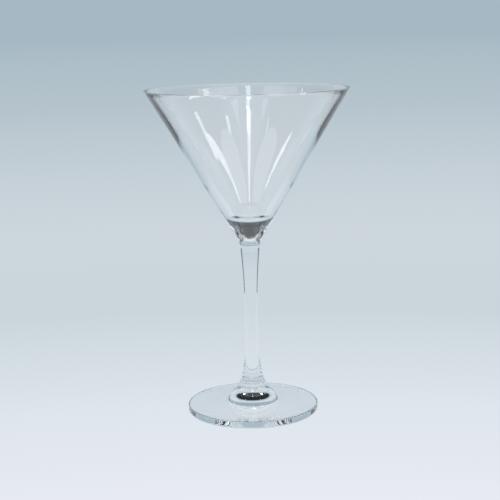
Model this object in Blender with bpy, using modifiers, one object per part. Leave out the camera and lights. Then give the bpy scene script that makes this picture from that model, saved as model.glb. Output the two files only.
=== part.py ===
"""A martini glass, modelled as the five pieces of glass that are joined while they are hot.

Each piece is a turned solid: a profile of (radius, height) points, spun round the Z axis. Profiles
are in millimetres and turned() makes them metres. The glass stands on Z = 0, centred on its stem,
and the pieces stand on each other: foot, collar, stem, bead and bowl.
"""

import math

import bpy

MM = 0.001
SEGMENTS = 48

# Overall sizes of the glass, in millimetres.
HEIGHT = 180.0
RIM_RADIUS = 55.6
RIM_WALL = 1.0
FOOT_RADIUS = 36.5

# Heights at which one piece hands over to the next. The weld itself is a thin gap.
FOOT_TOP = 13.6
COLLAR_TOP = 16.3
STEM_TOP = 94.0
BEAD_TOP = 96.8
WELD_GAP = 0.3

# The bowl: a straight cone whose lowest part is solid, drawn in to a neck below it.
CONE_BOTTOM_RADIUS = 7.75
CONE_BOTTOM = 99.8
CONE_RUN_ON = 1.2
NECK_RADIUS = 4.9
NECK_FILLET = (0.8, 0.3)
HOLLOW_FLOOR = 110.3
FLOOR_PULL = 9.2
KNEE = 116.2
KNEE_RADIUS = 11.35
KNEE_PULL = 1.9

# The bead under the bowl and the collar over the foot: two rings with round edges.
BEAD_RADIUS = 5.95
COLLAR_RADIUS = 7.6
COLLAR_FACE_RADIUS = 6.8

# The stem: a slim waist that swells gently to the bead, and more gently to a flare over the collar.
STEM_WAIST_RADIUS = 3.65
STEM_WAIST = 62.0
STEM_SHOULDER_RADIUS = 5.2
STEM_SHOULDER = 91.2
SHOULDER_ROUND = 0.9
STEM_NECK_RADIUS = 4.95
UPPER_SWELL_POWER = 1.9
STEM_FLARE = 31.5
STEM_FLARE_RADIUS = 3.95
STEM_BASE_RADIUS = 6.7
LOWER_SWELL_POWER = 2.0
FLARE_POWER = 1.15

# The foot: a disc that thins towards its edge, with a dome in its middle and a shallow hollow below.
BOSS_TOP_RADIUS = 7.4
BOSS_TOP_PULL = (3.1, 1.5)
BOSS_RADIUS = 13.9
BOSS_BOTTOM = 6.4
BOSS_BOTTOM_PULL = (2.2, 4.0)
PLATE_INNER_RADIUS = 14.4
PLATE_INNER_TOP = 5.9
PLATE_EDGE_TOP = 4.3
EDGE_TOP_ROUND = 0.7
EDGE_BOTTOM_ROUND = 1.4
REST_RING_INNER_RADIUS = 34.0
KICK_UP = 1.4


def arc(centre, radius, start, end, steps):
    """Points of an arc in the profile's plane, from one angle to another in degrees, both ends included."""
    angles = [math.radians(start + (end - start) * i / steps) for i in range(steps + 1)]
    return [(centre[0] + radius * math.cos(a), centre[1] + radius * math.sin(a)) for a in angles]


def bezier(p0, p1, p2, p3, steps):
    """Points of a cubic curve that leaves p0 towards p1 and reaches p3 from p2, both ends included."""
    points = []
    for i in range(steps + 1):
        t = i / steps
        weights = ((1 - t) ** 3, 3 * t * (1 - t) ** 2, 3 * t**2 * (1 - t), t**3)
        points.append(
            tuple(sum(w * p[axis] for w, p in zip(weights, (p0, p1, p2, p3))) for axis in (0, 1))
        )
    return points


def ring_profile(radius, bottom, top, face_radius, steps=5):
    """A ring between two flat faces, whose edge bulges from the faces' radius to the full radius."""
    middle = (bottom + top) / 2
    half = (top - bottom) / 2
    reach = radius - face_radius
    angles = [math.radians(90 - 180 * i / steps) for i in range(steps + 1)]
    edge = [(face_radius + reach * math.cos(a), middle + half * math.sin(a)) for a in angles]
    return [(0, top), *edge, (0, bottom)]


def swell(height, full_height, full_radius, power):
    """How much wider than its waist the stem is, growing by a power of the distance from the waist."""
    share = (height - STEM_WAIST) / (full_height - STEM_WAIST)
    return (full_radius - STEM_WAIST_RADIUS) * share**power


def stem_radius(height):
    """The stem's radius: it swells both ways from the waist, and flares near the collar."""
    if height >= STEM_WAIST:
        return STEM_WAIST_RADIUS + swell(height, STEM_SHOULDER, STEM_SHOULDER_RADIUS, UPPER_SWELL_POWER)
    bottom = COLLAR_TOP + WELD_GAP
    drawn = STEM_WAIST_RADIUS + swell(height, STEM_FLARE, STEM_FLARE_RADIUS, LOWER_SWELL_POWER)
    drawn_base = STEM_WAIST_RADIUS + swell(bottom, STEM_FLARE, STEM_FLARE_RADIUS, LOWER_SWELL_POWER)
    flare_share = max(0, (STEM_FLARE - height) / (STEM_FLARE - bottom))
    return drawn + (STEM_BASE_RADIUS - drawn_base) * flare_share**FLARE_POWER


def bowl_profile():
    """The bowl from the floor of its hollow, up the inside, over the rim and down the outside."""
    cone_slope = (RIM_RADIUS - CONE_BOTTOM_RADIUS) / (HEIGHT - CONE_BOTTOM)
    lip = RIM_WALL / 2
    lip_centre = (RIM_RADIUS - lip, HEIGHT - lip)
    inner_slope = (RIM_RADIUS - RIM_WALL - KNEE_RADIUS) / (lip_centre[1] - KNEE)
    floor = bezier(
        (0, HOLLOW_FLOOR),
        (FLOOR_PULL, HOLLOW_FLOOR),
        (KNEE_RADIUS - inner_slope * KNEE_PULL, KNEE - KNEE_PULL),
        (KNEE_RADIUS, KNEE),
        8,
    )
    leans = [math.degrees(math.atan(side)) for side in (inner_slope, cone_slope)]
    rim = arc(lip_centre, lip, 180 - leans[0], -leans[1], 5)
    bottom = BEAD_TOP + WELD_GAP
    underside = bezier(
        (CONE_BOTTOM_RADIUS, CONE_BOTTOM),
        (CONE_BOTTOM_RADIUS - cone_slope * CONE_RUN_ON, CONE_BOTTOM - CONE_RUN_ON),
        (NECK_RADIUS + NECK_FILLET[0], bottom + NECK_FILLET[1]),
        (NECK_RADIUS, bottom),
        5,
    )
    return [*floor, *rim, *underside, (0, bottom)]


def stem_profile():
    """The stem from its top face, over a small shoulder, down to the waist and out to the flare."""
    shoulder = bezier(
        (STEM_NECK_RADIUS, STEM_TOP),
        (STEM_NECK_RADIUS, STEM_TOP - SHOULDER_ROUND),
        (STEM_SHOULDER_RADIUS, STEM_SHOULDER + SHOULDER_ROUND),
        (STEM_SHOULDER_RADIUS, STEM_SHOULDER),
        4,
    )
    bottom = COLLAR_TOP + WELD_GAP
    upper = [STEM_SHOULDER + (STEM_WAIST - STEM_SHOULDER) * i / 7 for i in range(1, 8)]
    swelling = [STEM_WAIST + (STEM_FLARE - STEM_WAIST) * i / 5 for i in range(1, 6)]
    flaring = [STEM_FLARE + (bottom - STEM_FLARE) * i / 6 for i in range(1, 7)]
    side = [(stem_radius(height), height) for height in upper + swelling + flaring]
    return [(0, STEM_TOP), *shoulder, *side, (0, bottom)]


def foot_profile():
    """The foot from the middle of its top, down the dome, over the disc and back under it."""
    boss = bezier(
        (BOSS_TOP_RADIUS, FOOT_TOP),
        (BOSS_TOP_RADIUS + BOSS_TOP_PULL[0], FOOT_TOP - BOSS_TOP_PULL[1]),
        (BOSS_RADIUS - BOSS_BOTTOM_PULL[0], BOSS_BOTTOM + BOSS_BOTTOM_PULL[1]),
        (BOSS_RADIUS, BOSS_BOTTOM),
        7,
    )
    top_edge = arc((FOOT_RADIUS - EDGE_TOP_ROUND, PLATE_EDGE_TOP - EDGE_TOP_ROUND), EDGE_TOP_ROUND, 90, 0, 4)
    bottom_edge = arc((FOOT_RADIUS - EDGE_BOTTOM_ROUND, EDGE_BOTTOM_ROUND), EDGE_BOTTOM_ROUND, 0, -90, 4)
    bottom_edge[-1] = (FOOT_RADIUS - EDGE_BOTTOM_ROUND, 0)
    radii = [REST_RING_INNER_RADIUS * (1 - i / 7) for i in range(8)]
    hollow = [
        (radius, KICK_UP * math.cos(math.pi / 2 * radius / REST_RING_INNER_RADIUS) ** 2)
        for radius in radii[1:-1]
    ]
    return [
        (0, FOOT_TOP),
        *boss,
        (PLATE_INNER_RADIUS, PLATE_INNER_TOP),
        *top_edge,
        *bottom_edge,
        (REST_RING_INNER_RADIUS, 0),
        *hollow,
        (0, KICK_UP),
    ]


def glass(name, colour, roughness):
    """Clear glass with a faint tint."""
    material = bpy.data.materials.new(name)
    material.use_nodes = True
    shader = material.node_tree.nodes["Principled BSDF"]
    shader.inputs["Base Color"].default_value = (*colour, 1)
    shader.inputs["Roughness"].default_value = roughness
    shader.inputs["Metallic"].default_value = 0
    shader.inputs["IOR"].default_value = 1.52
    shader.inputs["Transmission Weight"].default_value = 1
    return material


def turned(name, profile, material, parts):
    """Spin a profile round the Z axis into one closed solid, shaded smooth except at its corners."""
    outline = bpy.data.meshes.new(name + "_profile")
    points = [(radius * MM, 0, height * MM) for radius, height in profile]
    outline.from_pydata(points, [(i, i + 1) for i in range(len(points) - 1)], [])
    piece = bpy.data.objects.new(name, outline)
    parts.objects.link(piece)
    screw = piece.modifiers.new("Turn", "SCREW")
    screw.axis = "Z"
    screw.steps = SEGMENTS
    screw.render_steps = SEGMENTS
    screw.use_merge_vertices = True
    screw.merge_threshold = 0.01 * MM
    graph = bpy.context.evaluated_depsgraph_get()
    solid = bpy.data.meshes.new_from_object(piece.evaluated_get(graph))
    solid.name = name
    piece.modifiers.clear()
    piece.data = solid
    bpy.data.meshes.remove(outline)
    solid.shade_smooth()
    solid.set_sharp_from_angle(angle=math.radians(35))
    solid.materials.clear()
    solid.materials.append(material)
    return piece


def main():
    for existing in list(bpy.data.objects):
        bpy.data.objects.remove(existing, do_unlink=True)
    parts = bpy.data.collections.new("martini_glass")
    bpy.context.scene.collection.children.link(parts)
    blown = glass("blown_glass", (0.93, 0.97, 0.97), 0.02)
    pressed = glass("pressed_glass", (0.88, 0.94, 0.95), 0.03)
    collar = ring_profile(COLLAR_RADIUS, FOOT_TOP + WELD_GAP, COLLAR_TOP, COLLAR_FACE_RADIUS)
    bead = ring_profile(BEAD_RADIUS, STEM_TOP + WELD_GAP, BEAD_TOP, NECK_RADIUS)
    turned("bowl", bowl_profile(), blown, parts)
    turned("bowl_bead", bead, pressed, parts)
    turned("stem", stem_profile(), pressed, parts)
    turned("stem_collar", collar, pressed, parts)
    turned("foot", foot_profile(), pressed, parts)


main()
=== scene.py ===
# %% [markdown]
# # A martini glass
#
# This lesson dresses a imported model of a stemmed cocktail glass: a wide cone of blown glass, a small
# bead, a drawn stem, a collar and a pressed foot. The imported solids fix every size. Here each one is
# made again with a fine, smooth surface, and gets a finish that bends light the way its glass does.
#
# The model is loaded first.

# %% Load the frame
import math

import bmesh
import bpy
from mathutils import Matrix, Vector


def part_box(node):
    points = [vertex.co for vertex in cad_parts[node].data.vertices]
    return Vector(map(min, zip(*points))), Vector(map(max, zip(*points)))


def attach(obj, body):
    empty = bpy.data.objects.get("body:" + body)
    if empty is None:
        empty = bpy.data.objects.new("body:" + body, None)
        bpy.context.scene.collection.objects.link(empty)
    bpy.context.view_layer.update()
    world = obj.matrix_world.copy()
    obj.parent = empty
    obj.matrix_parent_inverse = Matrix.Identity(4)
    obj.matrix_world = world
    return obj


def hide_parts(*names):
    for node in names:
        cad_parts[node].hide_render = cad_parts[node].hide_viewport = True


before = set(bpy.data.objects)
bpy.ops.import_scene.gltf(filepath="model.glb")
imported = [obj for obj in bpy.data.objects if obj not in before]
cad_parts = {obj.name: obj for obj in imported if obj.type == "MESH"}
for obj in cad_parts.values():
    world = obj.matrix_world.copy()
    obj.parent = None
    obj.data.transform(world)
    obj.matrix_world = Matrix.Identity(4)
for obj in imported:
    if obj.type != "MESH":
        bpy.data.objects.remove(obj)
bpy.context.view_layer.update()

MM = 0.001
print("nodes:", ", ".join(sorted(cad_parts)))

# %% [markdown]
# ## The camera
#
# The glass is seen from a little above, with a long lens, as if it stood on a table. A Track To
# constraint could aim the camera at the stem, but a matrix of one move and two turns says the same
# with no hidden state. The last turn lets the camera lean on its own axis, as a hand-held one does.

# %% Camera
CAMERA_PLACE = Vector((0, -0.6587, 0.21665))
CAMERA_PITCH = math.radians(-10.78)
CAMERA_ROLL = math.radians(-1.169)
CAMERA_LENS = 87.3
FILM_WIDTH = 36


def make_camera():
    """A long-lens camera that looks along +Y, tipped down and rolled a little."""
    data = bpy.data.cameras.new("camera")
    data.lens = CAMERA_LENS
    data.sensor_width = FILM_WIDTH
    data.clip_start = 0.01
    data.clip_end = 200
    camera = bpy.data.objects.new("camera", data)
    bpy.context.scene.collection.objects.link(camera)
    tip = Matrix.Rotation(math.radians(90) + CAMERA_PITCH, 4, "X")
    roll = Matrix.Rotation(CAMERA_ROLL, 4, "Z")
    camera.matrix_world = Matrix.Translation(CAMERA_PLACE) @ tip @ roll
    bpy.context.scene.camera = camera
    return camera


camera = make_camera()
print("the camera looks along", [round(-x, 3) for x in camera.matrix_world.col[2].xyz])

# %% [markdown]
# ## Turning a profile
#
# Hot glass is shaped while it spins, so every piece of this one is round. Each is drawn as a
# profile of radius and height, and spun round the Z axis. A Screw modifier would do that too, but
# `bmesh.ops.spin` gives a finished mesh at once, whose poles can be welded and whose normals can be
# checked. The profile's round corners are arcs, and its soft bends are cubic curves.

# %% Profile helpers
TURNS = 192
SHARPEST_SMOOTH = math.radians(30)


def arc(centre, radius, start, end, steps):
    """Points of an arc from one angle to another in degrees, both ends included."""
    angles = [math.radians(start + (end - start) * i / steps) for i in range(steps + 1)]
    return [(centre[0] + radius * math.cos(a), centre[1] + radius * math.sin(a)) for a in angles]


def curve(p0, p1, p2, p3, steps):
    """Points of a cubic curve from p0 to p3, which leaves towards p1 and arrives from p2."""
    points = []
    for i in range(steps + 1):
        t = i / steps
        weights = ((1 - t) ** 3, 3 * t * (1 - t) ** 2, 3 * t**2 * (1 - t), t**3)
        points.append(tuple(sum(w * p[k] for w, p in zip(weights, (p0, p1, p2, p3))) for k in (0, 1)))
    return points


def line(start, end, steps):
    """Points between the ends of a straight stretch, with the ends left out."""
    return [tuple(a + (b - a) * i / steps for a, b in zip(start, end)) for i in range(1, steps)]


def turn(name, profile):
    """Spin a profile of (radius, height) in millimetres round the Z axis into a closed mesh."""
    work = bmesh.new()
    points = [work.verts.new((radius * MM, 0, height * MM)) for radius, height in profile]
    edges = [work.edges.new(pair) for pair in zip(points, points[1:])]
    bmesh.ops.spin(
        work,
        geom=points + edges,
        cent=(0, 0, 0),
        axis=(0, 0, 1),
        angle=math.tau,
        steps=TURNS,
        use_merge=True,
    )
    bmesh.ops.remove_doubles(work, verts=work.verts, dist=0.001 * MM)
    bmesh.ops.recalc_face_normals(work, faces=work.faces)
    open_edges = sum(not edge.is_manifold for edge in work.edges)
    mesh = bpy.data.meshes.new(name)
    work.to_mesh(mesh)
    work.free()
    mesh.shade_smooth()
    mesh.set_sharp_from_angle(angle=SHARPEST_SMOOTH)
    piece = bpy.data.objects.new(name, mesh)
    bpy.context.scene.collection.objects.link(piece)
    print(f"{name}: {len(mesh.polygons)} faces, {open_edges} open edges")
    return piece


# %% [markdown]
# ## Where the pieces meet
#
# The bowl, bead, stem, collar and foot are joined while they are soft, so on the real glass there is
# no surface left between them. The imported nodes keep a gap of 0.3 mm there. Each fine piece is
# carried on to the middle of that gap, and stops a hundredth of a millimetre short of it: too little
# to see, and enough to keep the two meshes apart.

# %% Heights from the frame
FUSED_GAP = 0.02


def heights(node):
    """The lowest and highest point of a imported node, in millimetres."""
    low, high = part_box(node)
    return low.z / MM, high.z / MM


def half_width(node):
    """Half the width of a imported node, in millimetres."""
    low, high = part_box(node)
    return (high.x - low.x) / 2 / MM


def weld(lower, upper):
    """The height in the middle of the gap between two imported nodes."""
    return (heights(lower)[1] + heights(upper)[0]) / 2


welds = {
    "neck": weld("bowl_bead", "bowl"),
    "shoulder": weld("stem", "bowl_bead"),
    "ankle": weld("stem_collar", "stem"),
    "boss": weld("foot", "stem_collar"),
}
print("welds in mm:", {name: round(height, 2) for name, height in welds.items()})

# %% [markdown]
# ## The bowl
#
# The bowl is a straight cone. Its wall thickens evenly from 1 mm at the rim to a solid plug of glass
# at the bottom, where the hollow ends in a round floor, and below the plug it is drawn in to a
# narrow neck. The rim is melted round with a flame, with a wide round inside and a small one
# outside, so that its front line stays light. The outside and the inside are drawn as one line from
# the middle of the floor, up, over the rim and down. A Solidify modifier would give an even wall,
# and it is the plug that makes the bottom of the bowl glitter.

# %% Bowl
# Radii and heights are in millimetres. A pull is how far a curve's handle reaches from its end.
RIM_WALL = 1.0
INNER_LIP = 0.9
OUTER_LIP = 0.08
CONE_BOTTOM_RADIUS = 7.75
CONE_BOTTOM = 99.8
CONE_RUN_ON = 1.2
NECK_RADIUS = 4.9
NECK_FILLET = (0.8, 0.3)
HOLLOW_FLOOR = 110.3
FLOOR_PULL = 9.2
KNEE = 116.2
KNEE_RADIUS = 11.35
KNEE_PULL = 1.9
FLOOR_STEPS, INSIDE_STEPS, LIP_STEPS, OUTSIDE_STEPS, UNDERSIDE_STEPS = 28, 24, 10, 30, 12


def bowl_profile():
    """From the floor of the hollow, up the inside, over the rim, down the outside and in to the neck."""
    rim_radius = half_width("bowl")
    rim_height = heights("bowl")[1]
    bottom = welds["neck"] + FUSED_GAP / 2
    slope = (rim_radius - CONE_BOTTOM_RADIUS) / (rim_height - CONE_BOTTOM)
    inner_lip = (rim_radius - RIM_WALL + INNER_LIP, rim_height - INNER_LIP)
    outer_lip = (rim_radius - OUTER_LIP, rim_height - OUTER_LIP)
    inner_slope = (rim_radius - RIM_WALL - KNEE_RADIUS) / (inner_lip[1] - KNEE)
    floor = curve(
        (0, HOLLOW_FLOOR),
        (FLOOR_PULL, HOLLOW_FLOOR),
        (KNEE_RADIUS - inner_slope * KNEE_PULL, KNEE - KNEE_PULL),
        (KNEE_RADIUS, KNEE),
        FLOOR_STEPS,
    )
    inner_lean, outer_lean = (math.degrees(math.atan(side)) for side in (inner_slope, slope))
    inner_rim = arc(inner_lip, INNER_LIP, 180 - inner_lean, 90, LIP_STEPS)
    outer_rim = arc(outer_lip, OUTER_LIP, 90, -outer_lean, LIP_STEPS)
    underside = curve(
        (CONE_BOTTOM_RADIUS, CONE_BOTTOM),
        (CONE_BOTTOM_RADIUS - slope * CONE_RUN_ON, CONE_BOTTOM - CONE_RUN_ON),
        (NECK_RADIUS + NECK_FILLET[0], bottom + NECK_FILLET[1]),
        (NECK_RADIUS, bottom),
        UNDERSIDE_STEPS,
    )
    inside = line(floor[-1], inner_rim[0], INSIDE_STEPS)
    outside = line(outer_rim[-1], underside[0], OUTSIDE_STEPS)
    return [*floor, *inside, *inner_rim, *outer_rim, *outside, *underside, (0, bottom)]


bowl = turn("glass_bowl", bowl_profile())

# %% [markdown]
# ## The bead and the collar
#
# Two small rings of glass, which a maker calls mereses, hide the welds at both ends of the stem.
# Their edges are round because surface tension pulls them so. A torus would leave the middle open,
# so each is a disc whose edge is half an ellipse.

# %% Bead and collar
COLLAR_FACE_RADIUS = 6.8
RING_STEPS = 16


def ring_profile(radius, face_radius, low, high):
    """A disc between two heights, whose edge bulges from the faces' radius to the full radius."""
    middle = (low + high) / 2
    half = (high - low) / 2
    reach = radius - face_radius
    angles = [math.radians(90 - 180 * i / RING_STEPS) for i in range(RING_STEPS + 1)]
    edge = [(face_radius + reach * math.cos(a), middle + half * math.sin(a)) for a in angles]
    return [(0, high), *edge, (0, low)]


def fused_span(lower, upper):
    """The lowest and highest height of a piece between two welds."""
    return welds[lower] + FUSED_GAP / 2, welds[upper] - FUSED_GAP / 2


bead = turn(
    "glass_bead",
    ring_profile(half_width("bowl_bead"), NECK_RADIUS, *fused_span("shoulder", "neck")),
)
collar = turn(
    "glass_collar",
    ring_profile(half_width("stem_collar"), COLLAR_FACE_RADIUS, *fused_span("boss", "ankle")),
)

# %% [markdown]
# ## The stem
#
# The stem is pulled from a hot lump, so it is thinnest where it was pulled longest and swells
# towards both ends. At the top it ends in a small shoulder, and at the bottom it flares out to the
# collar. A power of the distance from the waist gives that swelling with two numbers for each half.

# %% Stem
WAIST_RADIUS = 3.65
WAIST = 62.0
SHOULDER_RADIUS = 5.2
SHOULDER = 91.2
SHOULDER_ROUND = 0.9
STEM_NECK_RADIUS = 4.95
UPPER_SWELL_POWER = 1.9
FLARE = 31.5
FLARE_RADIUS = 3.95
LOWER_SWELL_POWER = 2.0
FLARE_POWER = 1.15
SHOULDER_STEPS, UPPER_STEPS, LOWER_STEPS = 10, 40, 70


def swell(height, full_height, full_radius, power):
    """How much wider than its waist the stem is, growing by a power of the distance from the waist."""
    share = (height - WAIST) / (full_height - WAIST)
    return (full_radius - WAIST_RADIUS) * share**power


def stem_radius(height, bottom):
    """The stem's radius: it swells both ways from the waist, and flares near the collar."""
    if height >= WAIST:
        return WAIST_RADIUS + swell(height, SHOULDER, SHOULDER_RADIUS, UPPER_SWELL_POWER)
    drawn = WAIST_RADIUS + swell(height, FLARE, FLARE_RADIUS, LOWER_SWELL_POWER)
    drawn_base = WAIST_RADIUS + swell(bottom, FLARE, FLARE_RADIUS, LOWER_SWELL_POWER)
    flare_share = max(0, (FLARE - height) / (FLARE - bottom))
    return drawn + (half_width("stem") - drawn_base) * flare_share**FLARE_POWER


def stem_profile():
    """The stem from its top face, over the shoulder, down to the waist and out to the flare."""
    bottom, top = fused_span("ankle", "shoulder")
    shoulder = curve(
        (STEM_NECK_RADIUS, top),
        (STEM_NECK_RADIUS, top - SHOULDER_ROUND),
        (SHOULDER_RADIUS, SHOULDER + SHOULDER_ROUND),
        (SHOULDER_RADIUS, SHOULDER),
        SHOULDER_STEPS,
    )
    upper = [SHOULDER + (WAIST - SHOULDER) * i / UPPER_STEPS for i in range(1, UPPER_STEPS + 1)]
    lower = [WAIST + (bottom - WAIST) * i / LOWER_STEPS for i in range(1, LOWER_STEPS + 1)]
    side = [(stem_radius(height, bottom), height) for height in upper + lower]
    return [(0, top), *shoulder, *side, (0, bottom)]


stem = turn("glass_stem", stem_profile())

# %% [markdown]
# ## The foot
#
# The foot is pressed from a gob of glass: a disc that thins towards its round edge, with a dome in
# the middle that carries the stem. Underneath, a shallow hollow leaves only a ring near the edge to
# stand on, so that the glass doesn't rock. The dome is one cubic curve, and a short crease at its
# bottom turns it into the disc.

# %% Foot
BOSS_TOP_RADIUS = 7.4
BOSS_TOP_PULL = (3.1, 1.5)
BOSS_RADIUS = 13.9
BOSS_BOTTOM = 6.4
BOSS_BOTTOM_PULL = (2.2, 4.0)
PLATE_INNER_RADIUS = 14.4
PLATE_INNER_TOP = 5.9
CREASE_PULL = (0.15, 0.2)
PLATE_EDGE_TOP = 4.3
EDGE_TOP_ROUND = 0.7
EDGE_BOTTOM_ROUND = 1.4
REST_RING_INNER_RADIUS = 34.0
KICK_UP = 1.4
BOSS_STEPS, CREASE_STEPS, PLATE_STEPS, EDGE_STEPS, HOLLOW_STEPS = 30, 8, 16, 12, 24


def kick(i):
    """A point of the hollow underneath, counted in steps from the rest ring to the middle."""
    rise = math.sin(math.pi / 2 * i / HOLLOW_STEPS) ** 2
    return REST_RING_INNER_RADIUS * (1 - i / HOLLOW_STEPS), KICK_UP * rise


def foot_profile():
    """From the middle of the top, down the dome, over the disc, round its edge and back under it."""
    radius = half_width("foot")
    top = welds["boss"] - FUSED_GAP / 2
    boss = curve(
        (BOSS_TOP_RADIUS, top),
        (BOSS_TOP_RADIUS + BOSS_TOP_PULL[0], top - BOSS_TOP_PULL[1]),
        (BOSS_RADIUS - BOSS_BOTTOM_PULL[0], BOSS_BOTTOM + BOSS_BOTTOM_PULL[1]),
        (BOSS_RADIUS, BOSS_BOTTOM),
        BOSS_STEPS,
    )
    crease = curve(
        boss[-1],
        (BOSS_RADIUS + CREASE_PULL[0], BOSS_BOTTOM - CREASE_PULL[1]),
        (PLATE_INNER_RADIUS - CREASE_PULL[1], PLATE_INNER_TOP),
        (PLATE_INNER_RADIUS, PLATE_INNER_TOP),
        CREASE_STEPS,
    )
    top_middle = (radius - EDGE_TOP_ROUND, PLATE_EDGE_TOP - EDGE_TOP_ROUND)
    top_edge = arc(top_middle, EDGE_TOP_ROUND, 90, 0, EDGE_STEPS)
    plate = line(crease[-1], top_edge[0], PLATE_STEPS)
    bottom_middle = (radius - EDGE_BOTTOM_ROUND, EDGE_BOTTOM_ROUND)
    bottom_edge = arc(bottom_middle, EDGE_BOTTOM_ROUND, 0, -90, EDGE_STEPS)
    bottom_edge[-1] = (radius - EDGE_BOTTOM_ROUND, 0)
    hollow = [kick(i) for i in range(HOLLOW_STEPS)]
    return [(0, top), *boss, *crease[1:], *plate, *top_edge, *bottom_edge, *hollow, (0, KICK_UP)]


foot = turn("glass_foot", foot_profile())

# %% [markdown]
# ## Helpers for finishes
#
# A material is a small tree of nodes. One helper adds a node with its settings and its links, and
# another turns a colour as a painter writes it into the linear numbers that light adds up in. An
# input whose name is a number, such as _0, is one of several that share a name.

# %% Finish helpers
def linear(hex_colour):
    """An sRGB hex colour as linear red, green, blue and alpha."""
    channels = [int(hex_colour[i : i + 2], 16) / 255 for i in (1, 3, 5)]
    return (*(c / 12.92 if c <= 0.04045 else ((c + 0.055) / 1.055) ** 2.4 for c in channels), 1)


def add_node(tree, kind, settings=None, **inputs):
    """Add a node with its settings. An input is a value, or a socket to link from."""
    made = tree.nodes.new("ShaderNode" + kind)
    for name, value in (settings or {}).items():
        setattr(made, name, value)
    for name, value in inputs.items():
        key = int(name[1:]) if name[1:].isdigit() else name.replace("_", " ")
        socket = made.inputs[key]
        if isinstance(value, bpy.types.NodeSocket):
            tree.links.new(value, socket)
        else:
            socket.default_value = value
    return made


def add_ramp(tree, factor, stops):
    """Add a colour ramp with (position, hex colour) stops, from first to last."""
    ramp = add_node(tree, "ValToRGB", Fac=factor)
    elements = ramp.color_ramp.elements
    while len(elements) < len(stops):
        elements.new(1.0)
    for element, (position, colour) in zip(elements, stops):
        element.position = position
        element.color = linear(colour)
    return ramp.outputs["Color"]


def new_material(name):
    """A material with an empty tree and its output."""
    material = bpy.data.materials.new(name)
    material.use_nodes = True
    tree = material.node_tree
    tree.nodes.clear()
    return material, tree, add_node(tree, "OutputMaterial")


print("pale blue paper, linear:", [round(c, 3) for c in linear("#d8e2e8")])

# %% [markdown]
# ## Glass
#
# Table glass is soda-lime glass, with an index of 1.52. It is clear, and where light runs far
# through it, it turns a little green-blue from traces of iron, so the tint belongs in its volume
# and not on its surface. Blown and pressed walls are smooth but not quite even: broad, very shallow
# waves bend a reflection here and there. A noise that is read as a bump of a few thousandths of a
# millimetre does that. The waves of a blown wall are wider and shallower than those of pressed
# glass, which keeps a trace of its mould.

# %% Glass
GLASS_TINT = "#d8eef0"
GLASS_DENSITY = 2.5
GLASS_INDEX = 1.52
BLOWN_RIPPLE = (14, 0.004)
PRESSED_RIPPLE = (9, 0.006)


def glass(name, ripple):
    """Clear glass with a faint tint in its depth. A ripple is its width and its depth, in mm."""
    width, depth = ripple
    material, tree, out = new_material(name)
    places = add_node(tree, "TexCoord").outputs["Object"]
    waves = add_node(tree, "TexNoise", Vector=places, Scale=1 / (width * MM), Detail=1.0)
    bump = add_node(tree, "Bump", Strength=1.0, Distance=depth * MM, Height=waves.outputs["Fac"])
    shader = add_node(
        tree,
        "BsdfPrincipled",
        Base_Color=(1, 1, 1, 1),
        Roughness=0.0,
        IOR=GLASS_INDEX,
        Transmission_Weight=1.0,
        Normal=bump.outputs["Normal"],
    )
    depths = add_node(tree, "VolumeAbsorption", Color=linear(GLASS_TINT), Density=GLASS_DENSITY)
    tree.links.new(shader.outputs["BSDF"], out.inputs["Surface"])
    tree.links.new(depths.outputs["Volume"], out.inputs["Volume"])
    print(f"{name}: waves {width} mm wide and {depth} mm deep")
    return material


# A fine bright gloss with long, calm reflections, as a wall has that was blown and flame polished.
blown = glass("blown_soda_lime_glass", BLOWN_RIPPLE)
# The same gloss with shorter reflections, which tremble a little where the mould's mark is left.
pressed = glass("pressed_soda_lime_glass", PRESSED_RIPPLE)

# %% [markdown]
# ## The fused joints
#
# Two pieces of hot glass that touch become one, and the surface between them is gone. The meshes
# still have a face there, so it gets a material of its own that light passes without a mark. Those
# faces could be deleted, but then each mesh would be open, and its volume would have no end.

# %% Fused joints
def fused_joint():
    """What is left of the surface where two pieces have melted together: nothing."""
    material, tree, out = new_material("fused_joint")
    clear = add_node(tree, "BsdfTransparent", Color=(1, 1, 1, 1))
    tree.links.new(clear.outputs["BSDF"], out.inputs["Surface"])
    return material


joint = fused_joint()
pieces = {
    "bowl": (bowl, blown, "bowl_glass", ["neck"]),
    "bowl_bead": (bead, pressed, "stem_glass", ["neck", "shoulder"]),
    "stem": (stem, pressed, "stem_glass", ["shoulder", "ankle"]),
    "stem_collar": (collar, pressed, "stem_glass", ["ankle", "boss"]),
    "foot": (foot, pressed, "foot_glass", ["boss"]),
}


def on_weld(mesh, polygon, joined_at):
    """Whether a face lies wholly in one of the welds that its piece ends in."""
    corners = [mesh.vertices[i].co.z / MM for i in polygon.vertices]
    return any(all(abs(z - welds[name]) < FUSED_GAP for z in corners) for name in joined_at)


for piece, material, _, joined_at in pieces.values():
    mesh = piece.data
    mesh.materials.append(material)
    mesh.materials.append(joint)
    for polygon in mesh.polygons:
        polygon.material_index = int(on_weld(mesh, polygon, joined_at))
    fused = sum(polygon.material_index for polygon in mesh.polygons)
    print(f"{piece.name}: {fused} faces are fused to a neighbour")

# %% [markdown]
# ## Fixing the pieces to the model
#
# A drinking glass has no part that moves, so all five pieces ride on the one body of the model, and
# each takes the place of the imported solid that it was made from. They are also hidden from light
# that leaves the paper: real glass throws shadows and curls of light there, and with few samples
# those would be mostly noise.

# %% Riding
for node, (piece, _, slot, _) in pieces.items():
    piece.visible_diffuse = False
    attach(piece, "root")
    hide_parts(node)
    print(f"{piece.name} stands for {node}, in the slot {slot}")
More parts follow.
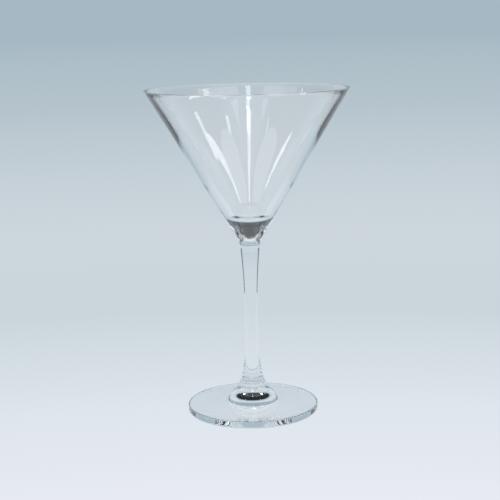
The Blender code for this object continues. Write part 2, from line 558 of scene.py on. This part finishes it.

# %% [markdown]
# ## The floor
#
# Clear glass has almost no colour of its own: what is seen is its surroundings, bent and mirrored.
# So the setting is planned as carefully as the glass. A sheet of pale blue paper runs from the
# camera to the horizon and fades with distance. That fade is painted shade in the paper's colour,
# the fall-off that a long sweep of paper shows when it is lit from the front. Its colour follows
# the distance from a point below the camera on a logarithmic scale, because that is how distances
# crowd together towards the horizon.

# %% Floor
FLOOR_RADIUS = 60
FLOOR_SIDES = 96
FLOOR_DROP = 0.1
FADE_CENTRE = Vector((0, CAMERA_PLACE.y, 0))
# Distances in metres from below the camera, and the paper's colour there: painted shade that darkens
# with distance.
PAPER_PAINTED_FADE = [
    (0.52, "#e8ebf2"),
    (0.67, "#dee5ec"),
    (0.90, "#cad5dc"),
    (1.25, "#cdd6dd"),
    (3.20, "#b4c3cc"),
    (16.0, "#a5b8c3"),
]
FADE_START, FADE_END = PAPER_PAINTED_FADE[0][0], PAPER_PAINTED_FADE[-1][0]


def paper_with_painted_fade():
    """Matt paper whose colour fades with distance: painted shade for the fall-off of a front light.
    It gives no gloss, so the glass alone shines.
    """
    material, tree, out = new_material("paper_with_painted_fade")
    places = add_node(tree, "TexCoord").outputs["Object"]
    away = add_node(tree, "VectorMath", {"operation": "DISTANCE"}, _0=places, _1=FADE_CENTRE)
    log_away = add_node(
        tree, "Math", {"operation": "LOGARITHM"}, _0=away.outputs["Value"], _1=math.e
    )
    share = add_node(
        tree,
        "MapRange",
        Value=log_away.outputs["Value"],
        From_Min=math.log(FADE_START),
        From_Max=math.log(FADE_END),
    )
    span = math.log(FADE_END / FADE_START)
    stops = [(math.log(distance / FADE_START) / span, colour) for distance, colour in PAPER_PAINTED_FADE]
    # The ramp paints the fall-off of light into the paper's colour.
    shader = add_node(tree, "BsdfDiffuse", Color=add_ramp(tree, share.outputs["Result"], stops))
    tree.links.new(shader.outputs["BSDF"], out.inputs["Surface"])
    return material


def make_floor():
    """A round sheet of paper a hair below the glass, so large that its edge is the horizon."""
    work = bmesh.new()
    bmesh.ops.create_circle(work, cap_ends=True, segments=FLOOR_SIDES, radius=FLOOR_RADIUS)
    bmesh.ops.translate(work, verts=work.verts, vec=(0, 0, -FLOOR_DROP * MM))
    mesh = bpy.data.meshes.new("floor")
    work.to_mesh(mesh)
    work.free()
    floor = bpy.data.objects.new("floor", mesh)
    bpy.context.scene.collection.objects.link(floor)
    mesh.materials.append(paper_with_painted_fade())
    print(f"the paper fades from {FADE_START} m to {FADE_END} m away from below the camera")


make_floor()

# %% [markdown]
# ## The room
#
# The paper needs even light from everywhere, and the glass needs the opposite: a room with pale and
# dark parts, or there is nothing for its edges to be dark against. This room is pale low down, where
# it meets the paper, dark above that, and pale again straight overhead. One world can give both,
# because it can ask how a ray got there. A ray that has bounced off something matt sees even white.
# Any other ray sees the room. The stops below are heights on a dome whose radius is 1.

# %% Room
ROOM = [
    (0.0, "#a5b8c3"),
    (0.42, "#a3b5c0"),
    (0.50, "#14181c"),
    (0.83, "#101418"),
    (0.87, "#d8dee4"),
    (1.0, "#e6eaee"),
]


def make_room():
    """Even white for light on its way to the paper, and a pale and dark room for all else."""
    world = bpy.data.worlds.new("room")
    bpy.context.scene.world = world
    world.use_nodes = True
    world.cycles.sampling_method = "NONE"
    tree = world.node_tree
    tree.nodes.clear()
    direction = add_node(tree, "TexCoord").outputs["Generated"]
    upright = add_node(tree, "SeparateXYZ", Vector=direction)
    room = add_node(tree, "Background", Color=add_ramp(tree, upright.outputs["Z"], ROOM))
    even = add_node(tree, "Background", Color=(1, 1, 1, 1))
    matt_bounces = add_node(tree, "LightPath").outputs["Diffuse Depth"]
    lit = add_node(tree, "MixShader", _0=matt_bounces, _1=room.outputs[0], _2=even.outputs[0])
    out = add_node(tree, "OutputWorld")
    tree.links.new(lit.outputs["Shader"], out.inputs["Surface"])
    dark = [math.degrees(math.asin(ROOM[i][0])) for i in (2, 3)]
    print("the room is dark from {:.0f} to {:.0f} degrees above level".format(*dark))


make_room()

# %% [markdown]
# ## Lamps
#
# Long narrow lamps overhead make the bright streaks on the inside of the bowl. A cone mirrors a
# lamp as a streak towards its point, because all the normals along one straight line of its wall
# are parallel. Two wide, dim lamps lay a veil beside the middle streak, and two short ones add a
# glint each. Three rows of small downlights further back are seen through the plug as sparks. Area
# lamps are used because they are mirrored with their own shape, which point lamps are not.

# %% Lamps
CEILING = 1.5
BOWL_MIDDLE = 0.14


def overhead(name, start, end, width, radiance):
    """A narrow lamp under the ceiling. Ends and width are in units of its height over the bowl."""
    rise = CEILING - BOWL_MIDDLE
    start, end = Vector(start) * rise, Vector(end) * rise
    run = end - start
    data = bpy.data.lights.new(name, "AREA")
    data.shape = "RECTANGLE"
    data.size = run.length
    data.size_y = width * rise
    data.energy = radiance * math.pi * data.size * data.size_y
    lamp = bpy.data.objects.new(name, data)
    bpy.context.scene.collection.objects.link(lamp)
    middle = (start + end) / 2
    turned = Matrix.Rotation(math.atan2(run.y, run.x), 4, "Z")
    lamp.matrix_world = Matrix.Translation((middle.x, middle.y, CEILING)) @ turned
    lamp.visible_diffuse = False


# Each has its two ends, its width and its radiance.
overhead("right_strip", (1.17, 0.25), (0.76, -0.46), 0.06, 6)
overhead("right_strip_end", (1.20, 0.34), (1.12, 0.20), 0.12, 5)
overhead("left_strip", (-1.25, 0.40), (-1.08, -0.08), 0.06, 6)
overhead("front_strip", (-0.04, -0.49), (-0.02, -0.82), 0.10, 6)
overhead("right_veil", (0.97, -0.22), (0.20, -0.71), 0.20, 1.6)
overhead("left_veil", (-0.98, -0.20), (-0.35, -0.65), 0.22, 1.5)
overhead("right_spot", (0.50, -0.39), (0.43, -0.43), 0.04, 5)
overhead("left_spot", (-0.50, -0.38), (-0.50, -0.41), 0.02, 5)

DOWNLIGHT_ROWS = (0.75, 1.15, 1.6)
DOWNLIGHT_COLUMNS = (-0.75, -0.25, 0.25, 0.75)
DOWNLIGHT_REACH = 0.022
DOWNLIGHT_WIDTH = 0.05
DOWNLIGHT_RADIANCE = 12
for row in DOWNLIGHT_ROWS:
    for column in DOWNLIGHT_COLUMNS:
        ends = [(column + side * DOWNLIGHT_REACH, row) for side in (-1, 1)]
        overhead(f"downlight_{row}_{column}", *ends, DOWNLIGHT_WIDTH, DOWNLIGHT_RADIANCE)
print("lamps:", len(bpy.data.lights))

# %% [markdown]
# ## Black cards
#
# A clear stem on pale paper would vanish. The old remedy is a black card on each side: the edges of
# the stem and of the plug bend light sideways by a large angle, so the cards are seen there as thin
# dark lines. Each card is part of a low wall round the glass, made from one curved edge that is
# extruded upwards. Seen from the side, a card would be a broad patch behind the bowl. Light that has
# crossed both walls of the bowl has passed four surfaces, and the card is clear to such light. What
# is left from there is a patch behind the far wall alone, above the near rim. The cards are hidden
# from the camera and from the paper, too.

# %% Black cards
# The angles are in degrees from the line on which the camera looks.
CARD_AWAY = 0.35
CARD_HEIGHT = 0.25
CARD_STEPS = 12
CARD_ANGLES = (52, 84)
MOST_SURFACES = 3


def black_card_paper():
    """Matt black card, so dark that an edge of glass has something to be dark against."""
    material, tree, out = new_material("black_card")
    surfaces_crossed = add_node(tree, "LightPath").outputs["Transmission Depth"]
    past_bowl = add_node(
        tree, "Math", {"operation": "GREATER_THAN"}, _0=surfaces_crossed, _1=MOST_SURFACES
    )
    black = add_node(tree, "BsdfDiffuse", Color=linear("#15191d"))
    clear = add_node(tree, "BsdfTransparent", Color=(1, 1, 1, 1))
    shader = add_node(
        tree,
        "MixShader",
        _0=past_bowl.outputs["Value"],
        _1=black.outputs["BSDF"],
        _2=clear.outputs["BSDF"],
    )
    tree.links.new(shader.outputs["Shader"], out.inputs["Surface"])
    return material


def black_card(name, side):
    """A curved card that stands on the paper, on the right (1) or on the left (-1)."""
    work = bmesh.new()
    start, end = (math.radians(side * angle) for angle in CARD_ANGLES)
    angles = [start + (end - start) * i / CARD_STEPS for i in range(CARD_STEPS + 1)]
    bottoms = [
        work.verts.new((CARD_AWAY * math.sin(a), CARD_AWAY * math.cos(a), 0)) for a in angles
    ]
    edges = [work.edges.new(pair) for pair in zip(bottoms, bottoms[1:])]
    raised = bmesh.ops.extrude_edge_only(work, edges=edges)
    tops = [part for part in raised["geom"] if isinstance(part, bmesh.types.BMVert)]
    bmesh.ops.translate(work, verts=tops, vec=(0, 0, CARD_HEIGHT))
    mesh = bpy.data.meshes.new(name)
    work.to_mesh(mesh)
    work.free()
    card = bpy.data.objects.new(name, mesh)
    bpy.context.scene.collection.objects.link(card)
    mesh.materials.append(black_card_paper())
    card.visible_camera = False
    card.visible_diffuse = False
    print(f"{name}: {len(mesh.polygons)} faces, {CARD_HEIGHT} m high")


black_card("right_flag", 1)
black_card("left_flag", -1)

# %% [markdown]
# ## Bounces and view
#
# Light takes a long way through a thick piece of glass, and each mirroring inside it counts as a
# glossy bounce. When the bounces run out the ray turns black, and the foot's edge and the sides of
# the bowl get black bands that real glass doesn't have. So all the limits are high. The plain view
# transform leaves the paper the colour that it was given.

# %% Bounces and view
MOST_BOUNCES = 64
MOST_MIRRORINGS = 32

scene = bpy.context.scene
scene.view_settings.view_transform = "Standard"
scene.cycles.max_bounces = MOST_BOUNCES
scene.cycles.transmission_bounces = MOST_BOUNCES
scene.cycles.glossy_bounces = MOST_MIRRORINGS
scene.cycles.transparent_max_bounces = MOST_MIRRORINGS
print("bounces in all, and mirrorings among them:", MOST_BOUNCES, MOST_MIRRORINGS)
